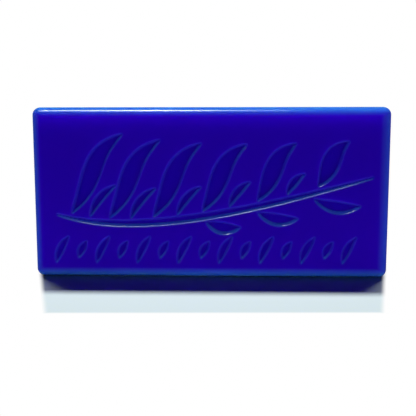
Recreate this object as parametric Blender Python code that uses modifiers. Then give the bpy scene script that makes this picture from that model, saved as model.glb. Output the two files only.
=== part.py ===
"""A cast detailing bar, modelled as the one solid block that it is.

The bar stands on one of its long narrow sides. Its decorated face looks along -Y, its length
runs along X, and its origin is the middle of the side that it stands on. The rim of the
decorated face is well rounded, as the bottom of a mould leaves it, and the rim of the back,
where the mould was open, is nearly sharp. A leafy sprig and a row of seeds are sunk into the
decorated face. Each of them is a stroke: a curved centre line with a width that swells
between two pointed ends.
"""

import math

import bmesh
import bpy
from mathutils import Vector

# The block, in metres.
LENGTH = 0.100
THICKNESS = 0.025
HEIGHT = 0.048
FRONT_RIM_RADIUS = 0.0028
CORNER_RADIUS = 0.0022
BACK_RIM_RADIUS = 0.0010
ROUNDING_SEGMENTS = 5

# The sprig, on the decorated face: X across, Z up from the side that the bar stands on.
SPRIG_DEPTH = 0.0012
STEM_ROUTE = ((-0.0430, 0.0180), (-0.0240, 0.0120), (0.0060, 0.0175), (0.0450, 0.0285))
STEM_HALF_WIDTH = 0.00085
STEM_GAP = 0.0009
TALL_LEAVES = 6
TALL_LEAF_LONGEST = 0.0260
TALL_LEAF_SHORTEST = 0.0145
TALL_LEAF_HALF_WIDTH = 0.0024
TALL_LEAF_LEAN = math.radians(33)
TALL_LEAF_BOW = 0.06
TALL_LEAF_CURL = 0.035
TALL_LEAF_FIRST = 0.07
TALL_LEAF_LAST = 0.87
BUD_SHARE = 0.42
BUD_HALF_WIDTH = 0.00095
BUD_LEAN = math.radians(40)
LOW_LEAVES = 3
LOW_LEAF_LONGEST = 0.0127
LOW_LEAF_SHORTEST = 0.0095
LOW_LEAF_HALF_WIDTH = 0.0015
LOW_LEAF_LEAN = math.radians(99)
LOW_LEAF_FIRST = 0.56
LOW_LEAF_LAST = 0.86
SMALL_LEAF_BOW = 0.10

# The row of seeds under the sprig.
SEED_DEPTH = 0.0007
SEEDS = 15
SEED_ROW_START = -0.0420
SEED_ROW_END = 0.0390
SEED_MIDDLE_HEIGHT = 0.0080
SEED_LONG = 0.0080
SEED_SHORT = 0.0050
SEED_HALF_WIDTH = 0.0009
SEED_LEAN = math.radians(26)
SEED_BOW = 0.07

STROKE_STEPS = 12
STROKE_FULLNESS = 0.8
CUTTER_CLEARANCE = 0.002
WAX_BLUE = (0.012, 0.001, 0.25, 1.0)


def clear_scene():
    for obj in list(bpy.data.objects):
        bpy.data.objects.remove(obj, do_unlink=True)


def new_collection(name):
    collection = bpy.data.collections.new(name)
    bpy.context.scene.collection.children.link(collection)
    return collection


def wax_material():
    material = bpy.data.materials.new("blue_wax")
    material.use_nodes = True
    shader = material.node_tree.nodes["Principled BSDF"]
    shader.inputs["Base Color"].default_value = WAX_BLUE
    shader.inputs["Roughness"].default_value = 0.25
    shader.inputs["Metallic"].default_value = 0.0
    return material


def rim_weight(edge):
    """How much of the front rim's radius this edge of the block gets."""
    middle = (edge.verts[0].co + edge.verts[1].co) / 2
    if abs(middle.y) < THICKNESS / 4:
        return CORNER_RADIUS / FRONT_RIM_RADIUS
    if middle.y > 0:
        return BACK_RIM_RADIUS / FRONT_RIM_RADIUS
    return 1.0


def block(collection):
    """The cast block: a box that stands on the ground plane, with its edges rounded."""
    shape = bmesh.new()
    bmesh.ops.create_cube(shape, size=1.0)
    bmesh.ops.scale(shape, vec=(LENGTH, THICKNESS, HEIGHT), verts=shape.verts)
    bmesh.ops.translate(shape, vec=(0, 0, HEIGHT / 2), verts=shape.verts)
    weights = shape.edges.layers.float.new("bevel_weight_edge")
    for edge in shape.edges:
        edge[weights] = rim_weight(edge)
    mesh = bpy.data.meshes.new("cast_bar")
    shape.to_mesh(mesh)
    shape.free()
    bar = bpy.data.objects.new("cast_bar", mesh)
    collection.objects.link(bar)
    rounding = bar.modifiers.new("rounded rims", "BEVEL")
    rounding.limit_method = "WEIGHT"
    rounding.width = FRONT_RIM_RADIUS
    rounding.segments = ROUNDING_SEGMENTS
    bar.data.materials.append(wax_material())
    return bar


def stem_point(t):
    """The stem's centre at t, from 0 at its left end to 1 at its tip."""
    a, b, c, d = (Vector(point) for point in STEM_ROUTE)
    s = 1 - t
    return s**3 * a + 3 * s**2 * t * b + 3 * s * t**2 * c + t**3 * d


def leaf_line(root, length, lean, bow, curl=0.0):
    """A leaf's centre line from its root. Lean turns it clockwise from upright, bow bends it
    to one side, and curl gives it an S shape."""
    along = Vector((math.sin(lean), math.cos(lean)))
    across = Vector((along.y, -along.x))
    line = []
    for i in range(STROKE_STEPS + 1):
        t = i / STROKE_STEPS
        aside = curl * math.sin(2 * math.pi * t) - 4 * bow * t * (1 - t)
        line.append(root + length * (t * along + aside * across))
    return line


def stroke_outline(line, half_width):
    """The outline of a stroke that swells from nothing at its ends to half_width each side."""
    left, right = [], []
    for i in range(1, len(line) - 1):
        along = (line[i + 1] - line[i - 1]).normalized()
        across = Vector((-along.y, along.x))
        swell = half_width * math.sin(math.pi * i / (len(line) - 1)) ** STROKE_FULLNESS
        left.append(line[i] + across * swell)
        right.append(line[i] - across * swell)
    return [line[0], *right, line[-1], *reversed(left)]


def stroke_cutter(name, line, half_width, depth, collection):
    """A flat outline with the stroke's shape, extruded from in front of the face into it."""
    outline = stroke_outline(line, half_width)
    curve = bpy.data.curves.new(name, "CURVE")
    curve.dimensions = "2D"
    curve.fill_mode = "BOTH"
    curve.extrude = (depth + CUTTER_CLEARANCE) / 2
    spline = curve.splines.new("POLY")
    spline.points.add(len(outline) - 1)
    for point, place in zip(spline.points, outline, strict=True):
        point.co = (place.x, place.y, 0, 1)
    spline.use_cyclic_u = True
    flat = bpy.data.objects.new(name, curve)
    flat.rotation_euler.x = math.pi / 2
    flat.location.y = -THICKNESS / 2 + (depth - CUTTER_CLEARANCE) / 2
    collection.objects.link(flat)
    return meshed(flat, name, collection)


def meshed(curve_object, name, collection):
    """The curve object as a closed mesh object in the same place. The curve is removed."""
    bpy.context.view_layer.update()
    graph = bpy.context.evaluated_depsgraph_get()
    mesh = bpy.data.meshes.new_from_object(curve_object.evaluated_get(graph))
    welded = bmesh.new()
    welded.from_mesh(mesh)
    bmesh.ops.remove_doubles(welded, verts=welded.verts, dist=1e-6)
    welded.to_mesh(mesh)
    welded.free()
    solid = bpy.data.objects.new(name, mesh)
    solid.matrix_world = curve_object.matrix_world.copy()
    solid.hide_render = True
    solid.display_type = "WIRE"
    collection.objects.link(solid)
    bpy.data.objects.remove(curve_object, do_unlink=True)
    return solid


def between(first, last, share):
    return first + (last - first) * share


def tall_leaf_length(share):
    return between(TALL_LEAF_LONGEST, TALL_LEAF_SHORTEST, share**2)


def root_beside_stem(t, side):
    """A leaf's root, clear of the stem: side is 1 above it and -1 below it."""
    return stem_point(t) + Vector((0, side * (STEM_HALF_WIDTH + STEM_GAP)))


def stem_cutter(collection):
    steps = 2 * STROKE_STEPS
    line = [stem_point(i / steps) for i in range(steps + 1)]
    stroke_cutter("stem_cutter", line, STEM_HALF_WIDTH, SPRIG_DEPTH, collection)


def tall_leaf_cutters(collection):
    """The tall leaves that stand on the stem, shorter towards its tip."""
    for i in range(TALL_LEAVES):
        share = i / (TALL_LEAVES - 1)
        t = between(TALL_LEAF_FIRST, TALL_LEAF_LAST, share)
        root = root_beside_stem(t, 1)
        length = tall_leaf_length(share)
        line = leaf_line(root, length, TALL_LEAF_LEAN, TALL_LEAF_BOW, TALL_LEAF_CURL)
        name = f"tall_leaf_cutter_{i + 1}"
        stroke_cutter(name, line, TALL_LEAF_HALF_WIDTH, SPRIG_DEPTH, collection)


def bud_cutters(collection):
    """A short bud in each gap between two tall leaves."""
    for i in range(TALL_LEAVES - 1):
        share = (i + 0.5) / (TALL_LEAVES - 1)
        t = between(TALL_LEAF_FIRST, TALL_LEAF_LAST, share)
        root = root_beside_stem(t, 1)
        length = BUD_SHARE * tall_leaf_length(share)
        line = leaf_line(root, length, BUD_LEAN, SMALL_LEAF_BOW)
        name = f"bud_cutter_{i + 1}"
        stroke_cutter(name, line, BUD_HALF_WIDTH, SPRIG_DEPTH, collection)


def low_leaf_cutters(collection):
    """The small leaves that hang under the stem's right half, longer towards its tip."""
    for i in range(LOW_LEAVES):
        share = i / (LOW_LEAVES - 1)
        t = between(LOW_LEAF_FIRST, LOW_LEAF_LAST, share)
        root = root_beside_stem(t, -1)
        length = between(LOW_LEAF_SHORTEST, LOW_LEAF_LONGEST, share)
        line = leaf_line(root, length, LOW_LEAF_LEAN, -SMALL_LEAF_BOW)
        name = f"low_leaf_cutter_{i + 1}"
        stroke_cutter(name, line, LOW_LEAF_HALF_WIDTH, SPRIG_DEPTH, collection)


def seed_cutters(collection):
    """A row of slanted seeds, long and short in turn."""
    for i in range(SEEDS):
        length = SEED_LONG if i % 2 == 0 else SEED_SHORT
        x = between(SEED_ROW_START, SEED_ROW_END, i / (SEEDS - 1))
        middle = Vector((x, SEED_MIDDLE_HEIGHT))
        root = middle - length / 2 * Vector((math.sin(SEED_LEAN), math.cos(SEED_LEAN)))
        line = leaf_line(root, length, SEED_LEAN, SEED_BOW)
        stroke_cutter(f"seed_cutter_{i + 1}", line, SEED_HALF_WIDTH, SEED_DEPTH, collection)


def sink(bar, cutters):
    """Cuts every stroke out of the block's decorated face."""
    cut = bar.modifiers.new("sunk sprig and seeds", "BOOLEAN")
    cut.operation = "DIFFERENCE"
    cut.solver = "EXACT"
    cut.operand_type = "COLLECTION"
    cut.collection = cutters


clear_scene()
bar_collection = new_collection("clay_bar")
cutter_collection = new_collection("cutters")
cast_bar = block(bar_collection)
stem_cutter(cutter_collection)
tall_leaf_cutters(cutter_collection)
bud_cutters(cutter_collection)
low_leaf_cutters(cutter_collection)
seed_cutters(cutter_collection)
sink(cast_bar, cutter_collection)
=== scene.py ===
"""A detailing bar of hard blue wax, cast in one pour, with a sprig and a row of seeds sunk into
its decorated face. It stands on a long narrow side on a pale floor, under a wide soft light.
"""

import math

import bmesh
import bpy
import numpy as np
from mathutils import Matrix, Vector


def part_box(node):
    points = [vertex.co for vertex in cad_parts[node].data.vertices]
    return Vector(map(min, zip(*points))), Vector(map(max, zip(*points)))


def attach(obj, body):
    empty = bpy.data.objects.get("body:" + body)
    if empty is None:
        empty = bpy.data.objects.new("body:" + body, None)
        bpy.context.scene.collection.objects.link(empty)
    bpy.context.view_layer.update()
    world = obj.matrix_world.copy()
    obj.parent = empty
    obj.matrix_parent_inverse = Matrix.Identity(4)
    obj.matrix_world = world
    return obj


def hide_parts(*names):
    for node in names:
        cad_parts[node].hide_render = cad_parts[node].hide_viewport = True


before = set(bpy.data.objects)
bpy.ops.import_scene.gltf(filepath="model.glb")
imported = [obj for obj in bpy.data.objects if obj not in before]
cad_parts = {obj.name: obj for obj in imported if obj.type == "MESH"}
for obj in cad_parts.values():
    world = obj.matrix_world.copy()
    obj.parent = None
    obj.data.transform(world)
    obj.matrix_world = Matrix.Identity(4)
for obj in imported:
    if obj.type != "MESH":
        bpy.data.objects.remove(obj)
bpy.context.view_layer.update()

# ---------------------------------------------------------------------------------------------
# The wax itself: a deep ultramarine pigment in a slightly clear wax. Where the wax is thin or
# rounded, at the rims and round each sunk mark, light comes through; this is painted into the
# colour as a lighter, greener blue, a painted glow. The upward walls of the marks carry a painted
# glint, and the floors of the marks a touch of painted shade. The skin is glossy, with a faint
# orange peel; the poured back is duller and cloudy.
# ---------------------------------------------------------------------------------------------

# A noise is (scale, detail). An edge is where a smooth rise starts and ends; at a mark it is in
# metres from the mark's outline, and negative outside it.
DEEP_BLUE = (0.032, 0.0003, 0.62, 1.0)
PAINTED_RIM_GLOW_BLUE = (0.024, 0.200, 0.68, 1.0)
PAINTED_SUNK_SHADE_BLUE = (0.024, 0.0003, 0.62, 1.0)
PAINTED_LIP_GLOW_BLUE = (0.030, 0.018, 0.66, 1.0)
PAINTED_GLINT_BLUE = (0.045, 0.150, 0.76, 1.0)
CLOUD_BLUE = (0.060, 0.045, 0.66, 1.0)
SUNK_COLOUR = (0.0, 0.0007)
LIP_OUTER_EDGE = (-0.0009, -0.0001)
LIP_INNER_EDGE = (0.0005, 0.0)
CLOUDS = (45.0, 4.0)
CLOUD_EDGE = (0.45, 0.75)
CLOUDS_ON_BACK = 0.4
CLOUDS_IN_DIMPLE = 0.35
SKIN_ROUGHNESS = 0.12
SKIN_PATCHES = (60.0, 3.0)
SKIN_PATCH_ROUGHNESS = 0.12
BACK_PATCHES = (140.0, 4.0)
BACK_PATCH_LEVEL = -0.25
BACK_PATCH_ROUGHNESS = 0.9
PEEL = (220.0, 1.0)
PEEL_STRENGTH = 0.05
BACK_GRAIN = (480.0, 3.0)
BACK_GRAIN_HEIGHT = 3.0
PITS_PER_METRE = 700.0
PIT_EDGE = (0.22, 0.02)
PIT_CHOICE = (0.72, 0.80)
PIT_STRENGTH = 0.6
PITS_NEAR_MARK = (-0.0012, 0.0)
BUMP_DEPTH = 0.0003
SCATTER_RADII = (1.0, 0.6, 1.0)
SCATTER_DEPTH = 0.005
WAX_IOR = 1.44


class Finish:
    """The nodes of a finish, with one call for each kind that the wax and the studio need."""

    def __init__(self, node_tree):
        self.nodes = node_tree.nodes
        self.links = node_tree.links

    def put(self, socket, value):
        """Links an output to a socket, or sets the socket to a plain value."""
        if isinstance(value, bpy.types.NodeSocket):
            self.links.new(value, socket)
        else:
            socket.default_value = value

    def place(self):
        """Where on its own piece a point is."""
        return self.nodes.new("ShaderNodeTexCoord").outputs["Object"]

    def attribute(self, name):
        node = self.nodes.new("ShaderNodeAttribute")
        node.attribute_name = name
        return node.outputs["Fac"]

    def ramp(self, value, edge):
        """Rises smoothly from 0 to 1 between the edge's first and second value."""
        node = self.nodes.new("ShaderNodeMapRange")
        node.interpolation_type = "SMOOTHSTEP"
        self.put(node.inputs["Value"], value)
        node.inputs["From Min"].default_value, node.inputs["From Max"].default_value = edge
        return node.outputs["Result"]

    def mix(self, share, first, second):
        node = self.nodes.new("ShaderNodeMix")
        node.data_type = "RGBA"
        self.put(node.inputs["Factor"], share)
        first_colour, second_colour = (socket for socket in node.inputs if socket.type == "RGBA")
        self.put(first_colour, first)
        self.put(second_colour, second)
        return next(socket for socket in node.outputs if socket.type == "RGBA")

    def math(self, operation, *values):
        node = self.nodes.new("ShaderNodeMath")
        node.operation = operation
        for socket, value in zip(node.inputs, values, strict=False):
            self.put(socket, value)
        return node.outputs[0]

    def noise(self, scale, detail):
        node = self.nodes.new("ShaderNodeTexNoise")
        self.put(node.inputs["Vector"], self.place())
        node.inputs["Scale"].default_value = scale
        node.inputs["Detail"].default_value = detail
        return node.outputs["Fac"]

    def bump(self, height, strength, depth):
        node = self.nodes.new("ShaderNodeBump")
        node.inputs["Strength"].default_value = strength
        node.inputs["Distance"].default_value = depth
        self.put(node.inputs["Height"], height)
        return node


def wax_colour(wax):
    inside = wax.attribute("inside_stroke")
    # painted glow: a lighter ring just round each mark's outline, standing for light caught at its
    # lip
    lip_glow = wax.math("MULTIPLY", wax.ramp(inside, LIP_OUTER_EDGE), wax.ramp(inside, LIP_INNER_EDGE))
    # painted glow: the rims are lighter and greener, standing for light coming through the thin
    # wax
    colour = wax.mix(wax.attribute("painted_rim_glow"), DEEP_BLUE, PAINTED_RIM_GLOW_BLUE)
    # painted shade: a touch darker, less red blue inside each sunk mark
    colour = wax.mix(wax.ramp(inside, SUNK_COLOUR), colour, PAINTED_SUNK_SHADE_BLUE)
    colour = wax.mix(lip_glow, colour, PAINTED_LIP_GLOW_BLUE)
    # painted glint: mark walls that face upwards are painted lighter and greener, as if they catch
    # light from above
    colour = wax.mix(wax.attribute("painted_wall_glint"), colour, PAINTED_GLINT_BLUE)
    on_back = wax.math("MULTIPLY", wax.attribute("poured_back"), CLOUDS_ON_BACK)
    clouds = wax.math("MULTIPLY", wax.ramp(wax.noise(*CLOUDS), CLOUD_EDGE), on_back)
    in_dimple = wax.math("MULTIPLY", wax.attribute("dimple"), CLOUDS_IN_DIMPLE)
    return wax.mix(wax.math("ADD", clouds, in_dimple), colour, CLOUD_BLUE)


def wax_roughness(wax):
    patches = wax.math("MULTIPLY", wax.noise(*SKIN_PATCHES), SKIN_PATCH_ROUGHNESS)
    skin = wax.math("ADD", patches, SKIN_ROUGHNESS)
    back_patches = wax.math("ADD", wax.noise(*BACK_PATCHES), BACK_PATCH_LEVEL)
    dull = wax.math("MULTIPLY", wax.attribute("poured_back"), back_patches)
    return wax.math("ADD", skin, wax.math("MULTIPLY", dull, BACK_PATCH_ROUGHNESS))


def wax_skin(wax):
    """The skin's fine relief: orange peel all over, a grain on the back, pits near the marks."""
    grain = wax.math("MULTIPLY", wax.noise(*BACK_GRAIN), BACK_GRAIN_HEIGHT)
    grain = wax.math("MULTIPLY", wax.attribute("poured_back"), grain)
    peel = wax.bump(wax.math("ADD", wax.noise(*PEEL), grain), PEEL_STRENGTH, BUMP_DEPTH)
    cells = wax.nodes.new("ShaderNodeTexVoronoi")
    wax.put(cells.inputs["Vector"], wax.place())
    cells.inputs["Scale"].default_value = PITS_PER_METRE
    draw = wax.nodes.new("ShaderNodeSeparateColor")
    wax.put(draw.inputs["Color"], cells.outputs["Color"])
    chosen = wax.ramp(draw.outputs["Red"], PIT_CHOICE)
    hollows = wax.math("MULTIPLY", wax.ramp(cells.outputs["Distance"], PIT_EDGE), chosen)
    near = wax.ramp(wax.attribute("inside_stroke"), PITS_NEAR_MARK)
    pits = wax.bump(wax.math("MULTIPLY", hollows, near), PIT_STRENGTH, BUMP_DEPTH)
    pits.invert = True
    wax.put(pits.inputs["Normal"], peel.outputs["Normal"])
    return pits.outputs["Normal"]


def wax_material():
    material = bpy.data.materials.new("blue_wax")
    material.use_nodes = True
    wax = Finish(material.node_tree)
    shader = wax.nodes["Principled BSDF"]
    wax.put(shader.inputs["Base Color"], wax_colour(wax))
    wax.put(shader.inputs["Roughness"], wax_roughness(wax))
    wax.put(shader.inputs["Normal"], wax_skin(wax))
    shader.inputs["Subsurface Weight"].default_value = 1.0
    shader.inputs["Subsurface Radius"].default_value = SCATTER_RADII
    shader.inputs["Subsurface Scale"].default_value = SCATTER_DEPTH
    shader.inputs["IOR"].default_value = WAX_IOR
    return material


blue_wax = wax_material()

# ---------------------------------------------------------------------------------------------
# The cast block. Hard wax is poured into a face-down mould, so the decorated face and its rim
# come out smooth and round. The back is the open side of the pour: it cools last, pulls down
# a little in the middle and stands up at the rim where it wets the mould.
# ---------------------------------------------------------------------------------------------

bar_low, bar_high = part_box("cast_bar")
LENGTH = bar_high.x - bar_low.x
THICKNESS = bar_high.y - bar_low.y
HEIGHT = bar_high.z - bar_low.z
FACE_Y = bar_low.y
BACK_Y = bar_high.y
MIDDLE_X = (bar_low.x + bar_high.x) / 2
MIDDLE_Y = (bar_low.y + bar_high.y) / 2
MIDDLE_Z = (bar_low.z + bar_high.z) / 2

FACE_RIM_RADIUS = 0.0028
CORNER_RADIUS = 0.0022
BACK_RIM_RADIUS = 0.0009
FACE_CELL = 0.00025
CORNER_STEPS = 8
FACE_RIM_STEPS = 9
SIDE_STEPS = 4
BACK_RIM_STEPS = 4
BACK_RING_STEP = 0.0023
MENISCUS_WIDTH = 0.0020
MENISCUS_RINGS = (0.15, 0.4, 0.7)
SAG_DEPTH = 0.0006
DIMPLE_PLACE = (0.0110, -0.0020)
DIMPLE_REACH = 0.0085
DIMPLE_DEPTH = 0.0007
POUR_WAVES = ((210.0, 90.0, 0.4), (-120.0, 260.0, 1.9), (330.0, -170.0, 3.1))
POUR_WAVE_HEIGHT = 0.00009
SAME_PLACE = 0.000001
# A glow is painted light: (strength, width in metres), stronger on the sides where more light
# comes through.
TOP_GLOW = (0.94, 0.0025)
BOTTOM_GLOW = (0.80, 0.0032)
LEFT_GLOW = (0.50, 0.0025)
RIGHT_GLOW = (0.36, 0.0036)
SIDE_GLOW_REACH = 0.0030
NOT_IN_A_STROKE = -1.0


def block_profile():
    """(inset, y) of each loop round the block, from the edge of the flat face to the back."""
    rings = []
    for step in range(1, FACE_RIM_STEPS + 1):
        angle = math.pi / 2 * step / FACE_RIM_STEPS
        inset = FACE_RIM_RADIUS * (1 - math.sin(angle))
        rings.append((inset, FACE_Y + FACE_RIM_RADIUS * (1 - math.cos(angle))))
    side_from = FACE_Y + FACE_RIM_RADIUS
    side_to = BACK_Y - BACK_RIM_RADIUS
    for step in range(1, SIDE_STEPS + 1):
        rings.append((0.0, side_from + (side_to - side_from) * step / SIDE_STEPS))
    for step in range(1, BACK_RIM_STEPS + 1):
        angle = math.pi / 2 * step / BACK_RIM_STEPS
        inset = BACK_RIM_RADIUS * (1 - math.cos(angle))
        rings.append((inset, BACK_Y - BACK_RIM_RADIUS * (1 - math.sin(angle))))
    return rings


def back_insets():
    """The loops that cover the back, from its rim to the line down its middle."""
    first = BACK_RIM_RADIUS
    last = HEIGHT / 2
    steps = math.ceil((last - first) / BACK_RING_STEP)
    near_rim = [first + MENISCUS_WIDTH * share for share in MENISCUS_RINGS]
    return near_rim + [first + (last - first) * (i + 1) / steps for i in range(steps)]


def from_dimple(x, z):
    """The distance from the dimple's middle, where 1 is its reach."""
    return np.hypot(x - DIMPLE_PLACE[0], z - DIMPLE_PLACE[1]) / DIMPLE_REACH


def back_level(x, z):
    """How far in the set wax lies: held up at the rim, sunk inside, dimpled where it set last."""
    in_x = np.maximum(LENGTH / 2 - BACK_RIM_RADIUS - abs(x), 0.0)
    in_z = np.maximum(HEIGHT / 2 - BACK_RIM_RADIUS - abs(z), 0.0)
    pulled = (1 - np.exp(-in_x / MENISCUS_WIDTH)) * (1 - np.exp(-in_z / MENISCUS_WIDTH))
    level = SAG_DEPTH + DIMPLE_DEPTH * np.exp(-(from_dimple(x, z) ** 2))
    for along_x, along_z, start in POUR_WAVES:
        level = level + POUR_WAVE_HEIGHT * np.sin(along_x * x + along_z * z + start)
    return BACK_Y - level * pulled


def face_counts():
    """How many cells the flat face has across and up."""
    across = round((LENGTH - 2 * FACE_RIM_RADIUS) / FACE_CELL)
    up = round((HEIGHT - 2 * FACE_RIM_RADIUS) / FACE_CELL)
    return across, up


def ring_outline(inset, across, up):
    """(x, z) round a rounded rectangle, anticlockwise as seen from the decorated face."""
    half_x = LENGTH / 2 - inset
    half_z = HEIGHT / 2 - inset
    corner = max(CORNER_RADIUS - inset, 0.0)
    sides = (((1, 0), (0, -1), across), ((0, 1), (1, 0), up))
    sides += (((-1, 0), (0, 1), across), ((0, -1), (-1, 0), up))
    points = []
    for (along_x, along_z), (out_x, out_z), cells in sides:
        reach_along = (half_x if along_x else half_z) - corner
        reach_out = half_z if along_x else half_x
        share = np.arange(cells) / cells * 2 - 1
        line_x = share * reach_along * along_x + reach_out * out_x
        line_z = share * reach_along * along_z + reach_out * out_z
        points.append(np.stack([line_x, line_z], axis=-1))
        turn = np.arange(CORNER_STEPS) / CORNER_STEPS * math.pi / 2
        centre_x = reach_along * along_x + (reach_out - corner) * out_x
        centre_z = reach_along * along_z + (reach_out - corner) * out_z
        arc_x = centre_x + corner * (np.cos(turn) * out_x + np.sin(turn) * along_x)
        arc_z = centre_z + corner * (np.cos(turn) * out_z + np.sin(turn) * along_z)
        points.append(np.stack([arc_x, arc_z], axis=-1))
    return np.concatenate(points)


def face_border(across, up):
    """The face grid's border, in the order of ring_outline, with each corner repeated."""
    grid = np.arange((across + 1) * (up + 1)).reshape(up + 1, across + 1)
    legs = (grid[0, :], grid[:, -1], grid[-1, ::-1], grid[::-1, 0])
    border = []
    for leg in legs:
        border.extend(leg[:-1])
        border.extend([leg[-1]] * CORNER_STEPS)
    return np.array(border), grid


def cast_block():
    """The block as one closed mesh: a fine grid on the face, then loops round to the back."""
    across, up = face_counts()
    inner, grid = face_border(across, up)
    half_x = LENGTH / 2 - FACE_RIM_RADIUS
    half_z = HEIGHT / 2 - FACE_RIM_RADIUS
    grid_x, grid_z = np.meshgrid(
        np.linspace(-half_x, half_x, across + 1), np.linspace(-half_z, half_z, up + 1)
    )
    points = [np.stack([grid_x, np.full_like(grid_x, FACE_Y), grid_z], -1).reshape(-1, 3)]
    faces = [
        np.stack([grid[:-1, :-1], grid[:-1, 1:], grid[1:, 1:], grid[1:, :-1]], -1).reshape(-1, 4)
    ]
    first = grid.size
    loops = block_profile() + [(inset, None) for inset in back_insets()]
    for inset, y in loops:
        x, z = ring_outline(inset, across, up).T
        ring = np.stack([x, back_level(x, z) if y is None else np.full(len(x), y), z], -1)
        points.append(ring)
        outer = first + np.arange(len(ring))
        faces.append(np.stack([inner, outer, np.roll(outer, -1), np.roll(inner, -1)], axis=-1))
        first += len(ring)
        inner = outer
    places = np.concatenate(points) + np.array([MIDDLE_X, 0.0, MIDDLE_Z])
    return places, np.concatenate(faces)


def block_object(name):
    """The block as an object, with the repeated points of its corners and its back joined."""
    places, quads = cast_block()
    clean = []
    for quad in quads.tolist():
        corners = list(dict.fromkeys(quad))
        if len(corners) > 2:
            clean.append(corners)
    mesh = bpy.data.meshes.new(name)
    mesh.from_pydata(places.tolist(), [], clean)
    joined = bmesh.new()
    joined.from_mesh(mesh)
    bmesh.ops.remove_doubles(joined, verts=joined.verts, dist=SAME_PLACE)
    joined.to_mesh(mesh)
    joined.free()
    mesh.shade_smooth()
    mesh.materials.append(blue_wax)
    block = bpy.data.objects.new(name, mesh)
    bpy.context.scene.collection.objects.link(block)
    return block


def store(mesh, name, values):
    layer = mesh.attributes.new(name, "FLOAT", "POINT")
    layer.data.foreach_set("value", np.asarray(values, dtype=np.float32))


def glow(distance, strength_and_width):
    """How much painted glow the wax gets this far from a side: strong at the rim, none past a
    width.
    """
    strength, width = strength_and_width
    return strength * np.clip(1 - (distance / width) ** 2, 0.0, 1.0) ** 2


def point_places(mesh):
    places = np.empty(len(mesh.vertices) * 3)
    mesh.vertices.foreach_get("co", places)
    return places.reshape(-1, 3).T


def mark_painted_rim_glow(mesh):
    """Stores the painted glow at each point, a lighter greener colour for light through the rims,
    most at the decorated face's own rims.
    """
    x, y, z = point_places(mesh)
    from_left = x - bar_low.x
    from_right = bar_high.x - x
    from_bottom = z - bar_low.z
    from_top = bar_high.z - z
    ends = np.maximum(glow(from_left, LEFT_GLOW), glow(from_right, RIGHT_GLOW))
    long_sides = np.maximum(glow(from_bottom, BOTTOM_GLOW), glow(from_top, TOP_GLOW))
    from_corner = np.maximum(np.minimum(from_left, from_right), np.minimum(from_bottom, from_top))
    from_rim = np.minimum(y - FACE_Y, BACK_Y - y) - FACE_RIM_RADIUS
    near_face = np.exp(-np.maximum(from_rim, 0.0) / SIDE_GLOW_REACH)
    near_corner = np.exp(-from_corner / SIDE_GLOW_REACH)
    rim = np.maximum(ends, long_sides) * np.maximum(near_face, near_corner)
    store(mesh, "painted_rim_glow", rim)


def mark_face(mesh):
    """Stores which points lie on the flat decorated face, and that no mark is in it yet."""
    y = point_places(mesh)[1]
    store(mesh, "on_face", y - FACE_Y < SAME_PLACE)
    store(mesh, "inside_stroke", np.full(len(y), NOT_IN_A_STROKE))


def mark_back(mesh):
    """Stores which points the open side of the pour has, and how near its dimple they are."""
    x, y, z = point_places(mesh)
    from_end = np.minimum(x - bar_low.x, bar_high.x - x)
    from_side = np.minimum(z - bar_low.z, bar_high.z - z)
    inset = np.minimum(from_end, from_side)
    poured = np.clip((inset - BACK_RIM_RADIUS) / MENISCUS_WIDTH, 0.0, 1.0)
    store(mesh, "poured_back", poured * (y > MIDDLE_Y))
    dimple = np.exp(-(from_dimple(x - MIDDLE_X, z - MIDDLE_Z) ** 2))
    store(mesh, "dimple", dimple * (y > MIDDLE_Y))


bar = block_object("cast_bar_wax")
mark_painted_rim_glow(bar.data)
mark_face(bar.data)
mark_back(bar.data)

# ---------------------------------------------------------------------------------------------
# The sunk decoration. A stamp in the mould's floor leaves a sprig: a stem, tall leaves on it,
# a bud in each gap, small leaves under it, and a row of seeds below. Every mark is a stroke
# that swells between two points, with walls that slope so that the bar leaves the mould.
# ---------------------------------------------------------------------------------------------

SPRIG_DEPTH = 0.0012
STEM_ROUTE = ((-0.0430, 0.0180), (-0.0240, 0.0120), (0.0060, 0.0175), (0.0450, 0.0285))
STEM_HALF_WIDTH = 0.00085
STEM_GAP = 0.0009
TALL_LEAVES = 6
TALL_LEAF_LONGEST = 0.0260
TALL_LEAF_SHORTEST = 0.0145
TALL_LEAF_HALF_WIDTH = 0.0024
TALL_LEAF_LEAN = math.radians(33)
TALL_LEAF_BOW = 0.06
TALL_LEAF_CURL = 0.035
TALL_LEAF_FIRST = 0.07
TALL_LEAF_LAST = 0.87
BUD_SHARE = 0.42
BUD_HALF_WIDTH = 0.00095
BUD_LEAN = math.radians(40)
LOW_LEAVES = 3
LOW_LEAF_LONGEST = 0.0127
LOW_LEAF_SHORTEST = 0.0095
LOW_LEAF_HALF_WIDTH = 0.0015
LOW_LEAF_LEAN = math.radians(99)
LOW_LEAF_FIRST = 0.56
LOW_LEAF_LAST = 0.86
SMALL_LEAF_BOW = 0.10
SEED_DEPTH = 0.0007
SEEDS = 15
SEED_ROW_START = -0.0420
SEED_ROW_END = 0.0390
SEED_MIDDLE_HEIGHT = 0.0080
SEED_LONG = 0.0080
SEED_SHORT = 0.0050
SEED_HALF_WIDTH = 0.0009
SEED_LEAN = math.radians(26)
SEED_BOW = 0.07
STROKE_FULLNESS = 0.8
STROKE_POINTS = 160
SPRIG_WALL = 0.0008
SEED_WALL = 0.0006
# How far up a mark's wall must face for its painted glint to start and to be full.
WALL_LIT_FROM = 0.25
WALL_LIT_FULL = 0.75


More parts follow.
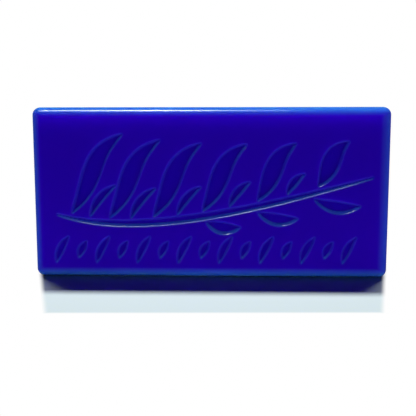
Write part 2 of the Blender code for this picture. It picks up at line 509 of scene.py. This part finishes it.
class Tree:
    """A Geometry Nodes tree, with one call for each node that it needs."""

    def __init__(self, name, sockets):
        self.group = bpy.data.node_groups.new(name, "GeometryNodeTree")
        face = self.group.interface
        face.new_socket("Geometry", in_out="OUTPUT", socket_type="NodeSocketGeometry")
        face.new_socket("Geometry", in_out="INPUT", socket_type="NodeSocketGeometry")
        for label, kind in (*sockets, ("Material", "Material")):
            face.new_socket(label, in_out="INPUT", socket_type=f"NodeSocket{kind}")
        self.given = self.group.nodes.new("NodeGroupInput").outputs

    def node(self, kind, inputs=(), **settings):
        """Adds a node. inputs pairs a socket's name or number with a value or an output."""
        made = self.group.nodes.new(kind)
        for setting, value in settings.items():
            setattr(made, setting, value)
        for place, value in inputs:
            if isinstance(value, bpy.types.NodeSocket):
                self.group.links.new(value, made.inputs[place])
            else:
                made.inputs[place].default_value = value
        return made.outputs[0]

    def math(self, operation, *values):
        inputs = list(enumerate(values))
        return self.node("ShaderNodeMath", inputs, operation=operation)

    def read(self, attribute):
        return self.node(
            "GeometryNodeInputNamedAttribute", [("Name", attribute)], data_type="FLOAT"
        )

    def write(self, geometry, attribute, value, where=True):
        inputs = [("Geometry", geometry), ("Selection", where)]
        inputs += [("Name", attribute), ("Value", value)]
        return self.node(
            "GeometryNodeStoreNamedAttribute", inputs, data_type="FLOAT", domain="POINT"
        )

    def finish(self, geometry):
        """Ends the tree: all real geometry, in the material that it is given."""
        real = self.node("GeometryNodeRealizeInstances", [("Geometry", geometry)])
        dressed = [("Geometry", real), ("Material", self.given["Material"])]
        real = self.node("GeometryNodeSetMaterial", dressed)
        end = self.group.nodes.new("NodeGroupOutput")
        self.group.links.new(real, end.inputs[0])
        return self.group


def stroke_tree():
    """Lays a swelling stroke on each root point, by the sizes that the point carries."""
    tree = Tree("swelling strokes", [("Points In A Stroke", "Int"), ("Fullness", "Float")])
    steps = tree.given["Points In A Stroke"]
    line = tree.node("GeometryNodeMeshLine", [("Count", steps), ("Offset", (0, 0, 0))])
    last = tree.math("SUBTRACT", steps, 1)
    share = tree.math("DIVIDE", tree.node("GeometryNodeInputIndex"), last)
    line = tree.write(line, "t", share)
    strokes = tree.node(
        "GeometryNodeInstanceOnPoints", [("Points", tree.given["Geometry"]), ("Instance", line)]
    )
    strokes = tree.node("GeometryNodeRealizeInstances", [("Geometry", strokes)])
    t = tree.read("t")
    lean = tree.read("lean")
    length = tree.read("length")
    sine, cosine = tree.math("SINE", lean), tree.math("COSINE", lean)
    wave = tree.math("SINE", tree.math("MULTIPLY", t, 2 * math.pi))
    arch = tree.math("MULTIPLY", tree.math("MULTIPLY", t, tree.math("SUBTRACT", 1, t)), 4)
    curled = tree.math("MULTIPLY", tree.read("curl"), wave)
    bowed = tree.math("MULTIPLY", tree.read("bow"), arch)
    aside = tree.math("SUBTRACT", curled, bowed)
    step_x = tree.math("ADD", tree.math("MULTIPLY", t, sine), tree.math("MULTIPLY", aside, cosine))
    step_z = tree.math(
        "SUBTRACT", tree.math("MULTIPLY", t, cosine), tree.math("MULTIPLY", aside, sine)
    )
    move_x = tree.math("MULTIPLY", length, step_x)
    move_z = tree.math("MULTIPLY", length, step_z)
    move = tree.node("ShaderNodeCombineXYZ", [("X", move_x), ("Z", move_z)])
    strokes = tree.node("GeometryNodeSetPosition", [("Geometry", strokes), ("Offset", move)])
    swell = tree.math("SINE", tree.math("MULTIPLY", t, math.pi))
    swell = tree.math("POWER", tree.math("MAXIMUM", swell, 0), tree.given["Fullness"])
    width = tree.math("MULTIPLY", tree.read("half_width"), swell)
    return tree.finish(tree.write(strokes, "reach", width))


def sinking_tree():
    """Sinks the strokes of another object into the points that lie on the flat face."""
    tree = Tree("sunk strokes", [("Strokes", "Object"), ("Depth", "Float"), ("Wall", "Float")])
    strokes = tree.group.nodes.new("GeometryNodeObjectInfo")
    tree.group.links.new(tree.given["Strokes"], strokes.inputs["Object"])
    strokes = strokes.outputs["Geometry"]
    place = tree.node("GeometryNodeInputPosition")
    parts = tree.group.nodes.new("ShaderNodeSeparateXYZ")
    tree.group.links.new(place, parts.inputs[0])
    inputs = [("X", parts.outputs["X"]), ("Y", FACE_Y), ("Z", parts.outputs["Z"])]
    flat = tree.node("ShaderNodeCombineXYZ", inputs)
    nearest = tree.node(
        "GeometryNodeSampleNearest",
        [("Geometry", strokes), ("Sample Position", flat)],
        domain="POINT",
    )
    inputs = [("Geometry", strokes), ("Value", tree.read("reach")), ("Index", nearest)]
    reach = tree.node("GeometryNodeSampleIndex", inputs, data_type="FLOAT", domain="POINT")
    inputs = [("Geometry", strokes), ("Value", place), ("Index", nearest)]
    centre = tree.node(
        "GeometryNodeSampleIndex", inputs, data_type="FLOAT_VECTOR", domain="POINT"
    )
    gap = tree.group.nodes.new("ShaderNodeVectorMath")
    gap.operation = "DISTANCE"
    tree.group.links.new(flat, gap.inputs[0])
    tree.group.links.new(centre, gap.inputs[1])
    inside = tree.math("SUBTRACT", reach, gap.outputs["Value"])
    half_wall = tree.math("MULTIPLY", tree.given["Wall"], 0.5)
    inputs = [("Value", inside), ("From Min", tree.math("MULTIPLY", half_wall, -1))]
    inputs += [("From Max", half_wall), ("To Min", 0.0), ("To Max", 1.0)]
    sunk = tree.node("ShaderNodeMapRange", inputs, interpolation_type="SMOOTHSTEP")
    push = tree.node(
        "ShaderNodeCombineXYZ", [("Y", tree.math("MULTIPLY", sunk, tree.given["Depth"]))]
    )
    on_face = tree.math("GREATER_THAN", tree.read("on_face"), 0.5)
    deepest = tree.math("MAXIMUM", tree.read("inside_stroke"), inside)
    bar_out = tree.write(tree.given["Geometry"], "inside_stroke", deepest, on_face)
    inputs = [("Geometry", bar_out), ("Selection", on_face), ("Offset", push)]
    return tree.finish(tree.node("GeometryNodeSetPosition", inputs))


def set_inputs(modifier, values):
    """Sets a Geometry Nodes modifier's inputs from a table of their names."""
    for item in modifier.node_group.interface.items_tree:
        if item.item_type == "SOCKET" and item.in_out == "INPUT" and item.name in values:
            modifier[item.identifier] = values[item.name]


def helper_object(name, places, **layers):
    """Loose points on the face, each with the sizes of its stroke."""
    mesh = bpy.data.meshes.new(name)
    mesh.from_pydata([(x, FACE_Y, z) for x, z in places], [], [])
    for layer, values in layers.items():
        store(mesh, layer, values)
    helper = bpy.data.objects.new(name, mesh)
    bpy.context.scene.collection.objects.link(helper)
    return helper


def row_of_strokes(name, roots, lengths, half_width, lean, bow, curl=0.0):
    """A row of alike strokes, one from each root, of their own lengths."""
    count = len(roots)
    layers = {"length": lengths, "half_width": [half_width] * count}
    layers |= {"lean": [lean] * count, "bow": [bow] * count, "curl": [curl] * count}
    row = helper_object(name, roots, **layers)
    laid = row.modifiers.new("strokes", "NODES")
    laid.node_group = STROKE_TREE
    sizes = {"Points In A Stroke": STROKE_POINTS, "Fullness": STROKE_FULLNESS}
    set_inputs(laid, {**sizes, "Material": blue_wax})
    return row


def stem_point(t):
    """The stem's centre at t, from 0 at its left end to 1 at its tip."""
    a, b, c, d = (Vector(point) for point in STEM_ROUTE)
    s = 1 - t
    return s**3 * a + 3 * s**2 * t * b + 3 * s * t**2 * c + t**3 * d


def between(first, last, share):
    return first + (last - first) * share


def tall_leaf_length(share):
    return between(TALL_LEAF_LONGEST, TALL_LEAF_SHORTEST, share**2)


def root_beside_stem(t, side):
    """A leaf's root, clear of the stem: side is 1 above it and -1 below it."""
    return stem_point(t) + Vector((0, side * (STEM_HALF_WIDTH + STEM_GAP)))


def stem():
    steps = 4 * STROKE_POINTS
    shares = [i / steps for i in range(steps + 1)]
    widths = [STEM_HALF_WIDTH * math.sin(math.pi * t) ** STROKE_FULLNESS for t in shares[:-1]]
    return helper_object("stem_line", [stem_point(t) for t in shares], reach=[*widths, 0.0])


def tall_leaves():
    shares = [i / (TALL_LEAVES - 1) for i in range(TALL_LEAVES)]
    roots = [root_beside_stem(between(TALL_LEAF_FIRST, TALL_LEAF_LAST, s), 1) for s in shares]
    lengths = [tall_leaf_length(s) for s in shares]
    sizes = (TALL_LEAF_HALF_WIDTH, TALL_LEAF_LEAN, TALL_LEAF_BOW, TALL_LEAF_CURL)
    return row_of_strokes("tall_leaf_roots", roots, lengths, *sizes)


def buds():
    shares = [(i + 0.5) / (TALL_LEAVES - 1) for i in range(TALL_LEAVES - 1)]
    roots = [root_beside_stem(between(TALL_LEAF_FIRST, TALL_LEAF_LAST, s), 1) for s in shares]
    lengths = [BUD_SHARE * tall_leaf_length(s) for s in shares]
    return row_of_strokes("bud_roots", roots, lengths, BUD_HALF_WIDTH, BUD_LEAN, SMALL_LEAF_BOW)


def low_leaves():
    shares = [i / (LOW_LEAVES - 1) for i in range(LOW_LEAVES)]
    roots = [root_beside_stem(between(LOW_LEAF_FIRST, LOW_LEAF_LAST, s), -1) for s in shares]
    lengths = [between(LOW_LEAF_SHORTEST, LOW_LEAF_LONGEST, s) for s in shares]
    sizes = (LOW_LEAF_HALF_WIDTH, LOW_LEAF_LEAN, -SMALL_LEAF_BOW)
    return row_of_strokes("low_leaf_roots", roots, lengths, *sizes)


def seeds():
    along = Vector((math.sin(SEED_LEAN), math.cos(SEED_LEAN)))
    lengths = [SEED_SHORT if i % 2 else SEED_LONG for i in range(SEEDS)]
    roots = []
    for i, length in enumerate(lengths):
        x = between(SEED_ROW_START, SEED_ROW_END, i / (SEEDS - 1))
        roots.append(Vector((x, SEED_MIDDLE_HEIGHT)) - along * length / 2)
    return row_of_strokes("seed_roots", roots, lengths, SEED_HALF_WIDTH, SEED_LEAN, SEED_BOW)


STROKE_TREE = stroke_tree()
SINKING_TREE = sinking_tree()


def sink(block, strokes, depth, wall):
    """Presses one group of strokes into the block."""
    pressed = block.modifiers.new(strokes.name, "NODES")
    pressed.node_group = SINKING_TREE
    set_inputs(pressed, {"Strokes": strokes, "Depth": depth, "Wall": wall, "Material": blue_wax})


stroke_groups = [stem(), tall_leaves(), buds(), low_leaves(), seeds()]
for group in stroke_groups[:-1]:
    sink(bar, group, SPRIG_DEPTH, SPRIG_WALL)
sink(bar, stroke_groups[-1], SEED_DEPTH, SEED_WALL)


def finished_bar(block, helpers):
    """Turns the block and its marks into a plain mesh, and clears away the helper points."""
    bpy.context.view_layer.update()
    graph = bpy.context.evaluated_depsgraph_get()
    mesh = bpy.data.meshes.new_from_object(block.evaluated_get(graph))
    block.modifiers.clear()
    block.data = mesh
    for helper in helpers:
        bpy.data.objects.remove(helper, do_unlink=True)


def paint_wall_glints(mesh):
    """Stores a painted glint where a sunk mark's wall looks up, standing for the light its edge
    would catch.
    """
    count = len(mesh.vertices)
    normals = np.empty(count * 3, dtype=np.float32)
    mesh.vertex_normals.foreach_get("vector", normals)
    on_face = np.empty(count, dtype=np.float32)
    mesh.attributes["on_face"].data.foreach_get("value", on_face)
    steep = np.clip((normals[2::3] - WALL_LIT_FROM) / (WALL_LIT_FULL - WALL_LIT_FROM), 0.0, 1.0)
    store(mesh, "painted_wall_glint", steep * on_face)


finished_bar(bar, stroke_groups)
paint_wall_glints(bar.data)
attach(bar, "root")
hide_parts("cast_bar")

# ---------------------------------------------------------------------------------------------
# The studio: a pale floor that fades to white, a wide soft light overhead and a little behind the
# bar, strips for its highlight, fills for its shaded faces, and the camera, low in front and
# close, so that the verticals lean in towards the floor.
# ---------------------------------------------------------------------------------------------

FLOOR_SIZE = 6.0
FLOOR_SHIFT = 0.0003
FLOOR_GAP = 0.00002
FLOOR_PAINT = (0.69, 0.805, 0.784, 1.0)
FLOOR_ROUGHNESS = 0.35
FLOOR_SPLAY = 0.26
FLOOR_SIDE_EDGE = (0.0510, 0.0528)
FLOOR_FRONT_EDGE = (0.0466, 0.0484)
SURROUND_LIGHT = 0.002
LIGHTS_HEIGHT = 0.50
OVERHEAD_X = -0.012
OVERHEAD_Y = 0.160
GLOSS_Y = -0.070
GLOSS_WIDTH = 0.085
BAR_HEART = (0.0, 0.0, 0.024)
ROOM_FILL = (0.50, 0.30)
NEAR_FILL = (0.098, 0.001)
LOW_FILL = (0.13, 0.003)
RIM_FILL_PLACE = (0.0, -0.0155, 0.0465)
TOP_RIM = (0.0, 0.0, 0.0465)
LOW_FILL_PLACE = (0.0, -0.0305, 0.002)
LOW_FACE = (0.0, 0.0, 0.002)
UNDER_FILL_PLACE = (0.0, -0.0135, -0.0035)
BOTTOM_RIM = (0.0, -0.0110, 0.0008)
CAMERA_PLACE = (0.00544, -0.2078, 0.0465)
CAMERA_PAN = -0.0311
CAMERA_TILT = 0.1348
CAMERA_ROLL = -0.001
LENS_MM = 60.92
SENSOR_MM = 36.0
NEAREST_SEEN = 0.01


def pale_floor():
    mesh = bpy.data.meshes.new("floor")
    half = FLOOR_SIZE / 2
    corners = [(-half, -half, 0), (half, -half, 0), (half, half, 0), (-half, half, 0)]
    mesh.from_pydata(corners, [], [(0, 1, 2, 3)])
    mesh.materials.append(floor_material())
    floor = bpy.data.objects.new("floor", mesh)
    floor.location = (FLOOR_SHIFT, 0.0, bar_low.z - FLOOR_GAP)
    floor.rotation_euler.z = -CAMERA_PAN
    floor.visible_glossy = False
    bpy.context.scene.collection.objects.link(floor)


def floor_material():
    """Pale paint round the bar, which turns plain white past a splayed patch."""
    material = bpy.data.materials.new("pale_floor")
    material.use_nodes = True
    finish = Finish(material.node_tree)
    paint = finish.nodes["Principled BSDF"]
    paint.inputs["Base Color"].default_value = FLOOR_PAINT
    paint.inputs["Roughness"].default_value = FLOOR_ROUGHNESS
    place = finish.nodes.new("ShaderNodeSeparateXYZ")
    finish.put(place.inputs["Vector"], finish.place())
    aside = finish.math("ABSOLUTE", place.outputs["X"])
    ahead = finish.math("ABSOLUTE", place.outputs["Y"])
    past_side = finish.ramp(
        finish.math("MULTIPLY_ADD", ahead, FLOOR_SPLAY, aside), FLOOR_SIDE_EDGE
    )
    past_floor = finish.math("MAXIMUM", past_side, finish.ramp(ahead, FLOOR_FRONT_EDGE))
    camera_sees = finish.nodes.new("ShaderNodeLightPath").outputs["Is Camera Ray"]
    white = finish.nodes.new("ShaderNodeEmission")
    blend = finish.nodes.new("ShaderNodeMixShader")
    finish.put(blend.inputs["Fac"], finish.math("MULTIPLY", past_floor, camera_sees))
    finish.put(blend.inputs[1], paint.outputs["BSDF"])
    finish.put(blend.inputs[2], white.outputs["Emission"])
    finish.put(finish.nodes["Material Output"].inputs["Surface"], blend.outputs["Shader"])
    return material


def white_surround():
    """White where the camera looks past the floor, and nearly black as a light."""
    world = bpy.data.worlds.new("surround")
    world.use_nodes = True
    bpy.context.scene.world = world
    surround = Finish(world.node_tree)
    camera_sees = surround.nodes.new("ShaderNodeLightPath").outputs["Is Camera Ray"]
    level = surround.math("MULTIPLY_ADD", camera_sees, 1 - SURROUND_LIGHT, SURROUND_LIGHT)
    shade = surround.nodes["Background"]
    shade.inputs["Color"].default_value = (1, 1, 1, 1)
    surround.put(shade.inputs["Strength"], level)


def soft_light(name, place, aim, size, power):
    light = bpy.data.lights.new(name, "AREA")
    light.shape = "RECTANGLE"
    light.size, light.size_y = size
    light.energy = power
    lamp = bpy.data.objects.new(name, light)
    lamp.location = place
    lamp.rotation_euler = (Vector(aim) - Vector(place)).to_track_quat("-Z", "Y").to_euler()
    lamp.visible_camera = False
    bpy.context.scene.collection.objects.link(lamp)
    return lamp


def fill_light(name, place, aim, size, power, bounces=4):
    """A light on the bar's shaded faces only, which leaves the floor and the gloss alone."""
    lamp = soft_light(name, place, aim, size, power)
    lamp.data.cycles.max_bounces = bounces
    lamp.visible_glossy = False
    lamp.light_linking.receiver_collection = bar_only
    lamp.light_linking.blocker_collection = bar_only


def gloss_light(name, x, length, power):
    """A strip over the bar that only shows as a highlight on its rounded edges."""
    place = (x, GLOSS_Y, LIGHTS_HEIGHT)
    lamp = soft_light(name, place, (x, GLOSS_Y, 0.0), (length, GLOSS_WIDTH), power)
    lamp.visible_diffuse = False
    lamp.data.cycles.max_bounces = 0
    lamp.light_linking.receiver_collection = bar_only


def studio_camera():
    lens = bpy.data.cameras.new("camera")
    lens.sensor_width = SENSOR_MM
    lens.lens = LENS_MM
    lens.clip_start = NEAREST_SEEN
    camera = bpy.data.objects.new("camera", lens)
    camera.location = CAMERA_PLACE
    camera.rotation_euler = (math.pi / 2 - CAMERA_TILT, 0.0, -CAMERA_PAN)
    camera.rotation_euler.rotate_axis("Z", CAMERA_ROLL)
    bpy.context.scene.collection.objects.link(camera)
    bpy.context.scene.camera = camera


pale_floor()
white_surround()

bar_only = bpy.data.collections.new("lit by the fills")
bar_only.objects.link(bar)

overhead_place = (OVERHEAD_X, OVERHEAD_Y, LIGHTS_HEIGHT)
overhead_aim = (OVERHEAD_X, OVERHEAD_Y, 0.0)
overhead = soft_light("overhead", overhead_place, overhead_aim, size=(0.34, 0.055), power=4.30)
overhead.visible_glossy = False

gloss_light("gloss strip", x=-0.110, length=0.160, power=1.05)
gloss_light("gloss middle", x=-0.055, length=0.100, power=0.70)
gloss_light("gloss tail", x=0.0125, length=0.085, power=0.16)

fill_light("front fill", (0.0, -0.50, 0.12), BAR_HEART, ROOM_FILL, power=0.35)
fill_light("left fill", (-0.50, 0.0, 0.12), BAR_HEART, ROOM_FILL, power=0.50)
fill_light("right fill", (0.50, 0.0, 0.12), BAR_HEART, ROOM_FILL, power=0.50)

fill_light("rim fill", RIM_FILL_PLACE, TOP_RIM, NEAR_FILL, power=0.00084, bounces=0)
fill_light("low fill", LOW_FILL_PLACE, LOW_FACE, LOW_FILL, power=0.0030, bounces=0)
fill_light("under fill", UNDER_FILL_PLACE, BOTTOM_RIM, NEAR_FILL, power=0.0025, bounces=0)

studio_camera()
bpy.context.scene.view_settings.view_transform = "Standard"
